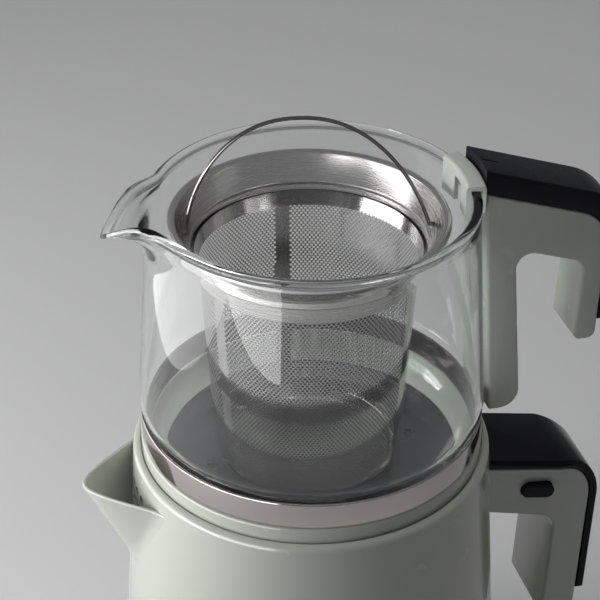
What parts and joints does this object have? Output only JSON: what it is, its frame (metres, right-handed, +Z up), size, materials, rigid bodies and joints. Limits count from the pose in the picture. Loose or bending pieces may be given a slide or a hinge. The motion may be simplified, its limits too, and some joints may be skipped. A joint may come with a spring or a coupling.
{
  "type": "automatic tea maker",
  "caption": "Two-tier electric tea maker: a glass teapot with a lift-out steel infuser on a spouted kettle that turns and lifts off its power base.",
  "frame": {"origin": "under the middle of the object's outline, on the table", "axes": "+Z up, +X towards the handles, -X towards the spouts, +Y across"},
  "size_m": [0.2215, 0.174, 0.3169],
  "materials": {
    "sage_paint": "gloss pale sage grey",
    "black_gloss": "gloss black",
    "satin_black": "satin black",
    "steel": "satin stainless steel",
    "polished_steel": "polished stainless steel",
    "clear_glass": "clear polished glass",
    "dark_plate": "smooth dark grey",
    "connector_grey": "moulded grey",
    "button_grey": "semi-gloss grey",
    "amber_window": "translucent amber",
    "ceramic_white": "white ceramic",
    "rubber": "black rubber",
    "seal": "white silicone"
  },
  "bodies": {
    "power_base": {"base_housing": "sage_paint", "base_bottom_cover": "black_gloss", "rubber_foot_1": "rubber", "rubber_foot_2": "rubber", "rubber_foot_3": "rubber", "rubber_foot_4": "rubber", "base_screw_1": "steel", "base_screw_2": "steel", "base_screw_3": "steel", "base_screw_4": "steel", "base_connector": "connector_grey", "control_panel": "black_gloss", "pilot_window": "amber_window", "cord_gland": "rubber"},
    "boil_button": {"boil_button": "button_grey"},
    "keep_warm_button": {"keep_warm_button": "button_grey"},
    "socket": {"kettle_socket": "connector_grey"},
    "kettle": {"kettle_body": "sage_paint", "kettle_spout_filter": "steel", "heating_plate": "steel", "heating_element": "steel", "thermostat": "ceramic_white", "kettle_bottom_cover": "black_gloss", "kettle_bottom_screw_1": "steel", "kettle_bottom_screw_2": "steel", "kettle_bottom_screw_3": "steel", "kettle_handle": "sage_paint", "kettle_handle_cover": "black_gloss"},
    "side_button": {"kettle_side_button": "black_gloss"},
    "kettle_lid": {"kettle_lid_ring": "sage_paint", "kettle_lid_plate": "dark_plate", "kettle_lid_seal": "seal"},
    "teapot": {"teapot_glass": "clear_glass", "teapot_band": "polished_steel", "teapot_handle": "sage_paint", "teapot_handle_cover": "satin_black", "teapot_handle_screw": "steel", "teapot_rim_clip": "sage_paint"},
    "infuser": {"infuser_flange": "steel", "infuser_basket": "steel", "infuser_floor": "steel"},
    "bail": {"infuser_bail": "steel"}
  },
  "joints": [
    {"name": "boil_press", "type": "slide", "parent": "power_base", "child": "boil_button", "axis": [-0.3511, 0, -0.9363], "range_m": [0, 0.0012], "stiffness_N_per_m": 400},
    {"name": "keep_warm_press", "type": "slide", "parent": "power_base", "child": "keep_warm_button", "axis": [-0.3511, 0, -0.9363], "range_m": [0, 0.0012], "stiffness_N_per_m": 400},
    {"name": "kettle_lift", "type": "slide", "parent": "power_base", "child": "socket", "axis": [0, 0, 1], "range_m": [0, 0.05]},
    {"name": "kettle_turn", "type": "hinge", "parent": "socket", "child": "kettle", "pos_m": [-0.0159, 0, 0.0255], "axis": [0, 0, 1], "continuous": true},
    {"name": "side_press", "type": "slide", "parent": "kettle", "child": "side_button", "axis": [0, 1, 0], "range_m": [0, 0.0012], "stiffness_N_per_m": 400},
    {"name": "lid_lift", "type": "slide", "parent": "kettle", "child": "kettle_lid", "axis": [0, 0, 1], "range_m": [0, 0.05]},
    {"name": "teapot_lift", "type": "slide", "parent": "kettle_lid", "child": "teapot", "axis": [0, 0, 1], "range_m": [0, 0.08]},
    {"name": "infuser_lift", "type": "slide", "parent": "teapot", "child": "infuser", "axis": [0, 0, 1], "range_m": [0, 0.13]},
    {"name": "bail_swing", "type": "hinge", "parent": "infuser", "child": "bail", "pos_m": [-0.0159, 0, 0.2691], "axis": [0.9848, -0.1736, 0], "range_deg": [-80, 80]}
  ]
}
